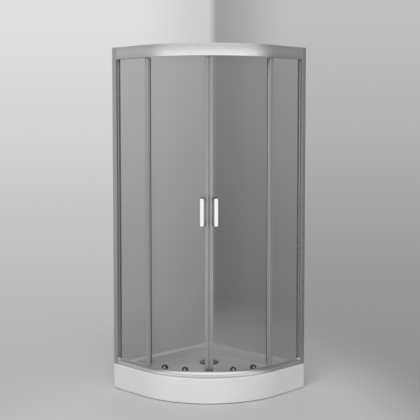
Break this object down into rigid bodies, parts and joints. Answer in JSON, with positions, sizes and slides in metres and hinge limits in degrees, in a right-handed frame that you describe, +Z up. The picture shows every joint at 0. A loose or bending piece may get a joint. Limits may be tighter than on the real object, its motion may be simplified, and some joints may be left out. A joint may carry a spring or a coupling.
{
  "type": "quadrant shower enclosure",
  "caption": "Quadrant corner shower enclosure: low white tray, bright aluminium frame, flat fixed panes and curved tinted doors that slide apart on rollers.",
  "frame": {"origin": "on the floor, under the middle of the square footprint", "axes": "+Z up; the room's corner is at -X +Y; the left wall lies at -X, the right wall at +Y, and the round front faces +X -Y"},
  "size_m": [0.8, 0.8, 2.005],
  "materials": {
    "tray_white": "gloss white acrylic",
    "aluminium_bright": "bright anodised",
    "aluminium_satin": "satin anodised",
    "waste_steel": "turned",
    "chrome_bright": "polished plating",
    "tinted_glass": "grey tinted toughened glass",
    "rubber_black": "matte",
    "clear_vinyl": "translucent",
    "seal_grey": "matte",
    "wheel_dark": "moulded",
    "zinc_steel": "zinc plated",
    "board": "raw board",
    "trap_plastic": "moulded"
  },
  "bodies": {
    "enclosure": {"bottom_rail": "aluminium_bright", "fixed_glass_left": "tinted_glass", "fixed_glass_right": "tinted_glass", "fixed_post_left": "aluminium_bright", "fixed_post_right": "aluminium_bright", "glass_gasket_left": "rubber_black", "glass_gasket_right": "rubber_black", "post_seal_left": "clear_vinyl", "post_seal_right": "clear_vinyl", "rail_screws": "zinc_steel", "rail_stops": "rubber_black", "shower_tray": "tray_white", "side_profile_left": "aluminium_bright", "side_profile_right": "aluminium_bright", "side_profile_screws": "zinc_steel", "top_rail": "aluminium_bright", "tray_base_board": "board", "tray_foot_nuts": "zinc_steel", "tray_foot_pads": "rubber_black", "tray_foot_studs": "zinc_steel", "tray_support_frame": "zinc_steel", "wall_profile_left": "aluminium_bright", "wall_profile_right": "aluminium_bright", "waste_flange": "waste_steel", "waste_gasket": "rubber_black", "waste_trap_body": "trap_plastic", "waste_trap_insert": "trap_plastic"},
    "door_left": {"door_glass_left": "tinted_glass", "door_washers_left": "clear_vinyl", "drip_strip_left": "clear_vinyl", "handle_bar_left": "chrome_bright", "handle_nuts_left": "chrome_bright", "handle_posts_left": "wheel_dark", "lead_profile_left": "aluminium_satin", "magnet_strip_left": "seal_grey", "roller_axles_left": "chrome_bright", "roller_nuts_left": "chrome_bright", "trail_profile_left": "aluminium_bright"},
    "door_right": {"door_glass_right": "tinted_glass", "door_washers_right": "clear_vinyl", "drip_strip_right": "clear_vinyl", "handle_bar_right": "chrome_bright", "handle_nuts_right": "chrome_bright", "handle_posts_right": "wheel_dark", "lead_profile_right": "aluminium_satin", "magnet_strip_right": "seal_grey", "roller_axles_right": "chrome_bright", "roller_nuts_right": "chrome_bright", "trail_profile_right": "aluminium_bright"},
    "waste_cover_loose": {"waste_cover": "waste_steel"},
    "roller_bottom_front_left": {"wheel_bottom_front_left": "wheel_dark"},
    "roller_bottom_front_right": {"wheel_bottom_front_right": "wheel_dark"},
    "roller_bottom_rear_left": {"wheel_bottom_rear_left": "wheel_dark"},
    "roller_bottom_rear_right": {"wheel_bottom_rear_right": "wheel_dark"},
    "roller_top_front_left": {"wheel_top_front_left": "wheel_dark"},
    "roller_top_front_right": {"wheel_top_front_right": "wheel_dark"},
    "roller_top_rear_left": {"wheel_top_rear_left": "wheel_dark"},
    "roller_top_rear_right": {"wheel_top_rear_right": "wheel_dark"}
  },
  "joints": [
    {"name": "door_left_slide", "type": "hinge", "parent": "enclosure", "child": "door_left", "pos_m": [-0.16512, 0.20937, 0], "axis": [0, 0, -1], "range_deg": [0, 21.68]},
    {"name": "door_right_slide", "type": "hinge", "parent": "enclosure", "child": "door_right", "pos_m": [-0.20937, 0.16512, 0], "axis": [0, 0, 1], "range_deg": [0, 21.68]},
    {"name": "spin_top_front_left", "type": "hinge", "parent": "door_left", "child": "roller_top_front_left", "pos_m": [0.09815, -0.2904, 1.9748], "axis": [0.4909, -0.8712, 0], "continuous": true},
    {"name": "spin_top_front_right", "type": "hinge", "parent": "door_right", "child": "roller_top_front_right", "pos_m": [0.2904, -0.09815, 1.9748], "axis": [0.8712, -0.4909, 0], "continuous": true},
    {"name": "spin_top_rear_left", "type": "hinge", "parent": "door_left", "child": "roller_top_rear_left", "pos_m": [-0.01832, -0.33805, 1.9748], "axis": [0.2605, -0.9655, 0], "continuous": true},
    {"name": "spin_top_rear_right", "type": "hinge", "parent": "door_right", "child": "roller_top_rear_right", "pos_m": [0.33805, 0.01832, 1.9748], "axis": [0.9655, -0.2605, 0], "continuous": true},
    {"name": "spin_bottom_front_left", "type": "hinge", "parent": "door_left", "child": "roller_bottom_front_left", "pos_m": [0.09815, -0.2904, 0.1798], "axis": [0.4909, -0.8712, 0], "continuous": true},
    {"name": "spin_bottom_front_right", "type": "hinge", "parent": "door_right", "child": "roller_bottom_front_right", "pos_m": [0.2904, -0.09815, 0.1798], "axis": [0.8712, -0.4909, 0], "continuous": true},
    {"name": "spin_bottom_rear_left", "type": "hinge", "parent": "door_left", "child": "roller_bottom_rear_left", "pos_m": [-0.01832, -0.33805, 0.1798], "axis": [0.2605, -0.9655, 0], "continuous": true},
    {"name": "spin_bottom_rear_right", "type": "hinge", "parent": "door_right", "child": "roller_bottom_rear_right", "pos_m": [0.33805, 0.01832, 0.1798], "axis": [0.9655, -0.2605, 0], "continuous": true},
    {"name": "waste_cover_lift", "type": "slide", "parent": "enclosure", "child": "waste_cover_loose", "axis": [0, 0, 1], "range_m": [0, 0.06]}
  ],
  "couplings": [
    {"joint": "spin_top_front_left", "follows": "door_left_slide", "ratio": 38.941},
    {"joint": "spin_top_front_right", "follows": "door_right_slide", "ratio": -38.941},
    {"joint": "spin_top_rear_left", "follows": "door_left_slide", "ratio": 39.087},
    {"joint": "spin_top_rear_right", "follows": "door_right_slide", "ratio": -39.087},
    {"joint": "spin_bottom_front_left", "follows": "door_left_slide", "ratio": 38.941},
    {"joint": "spin_bottom_front_right", "follows": "door_right_slide", "ratio": -38.941},
    {"joint": "spin_bottom_rear_left", "follows": "door_left_slide", "ratio": 39.087},
    {"joint": "spin_bottom_rear_right", "follows": "door_right_slide", "ratio": -39.087}
  ]
}
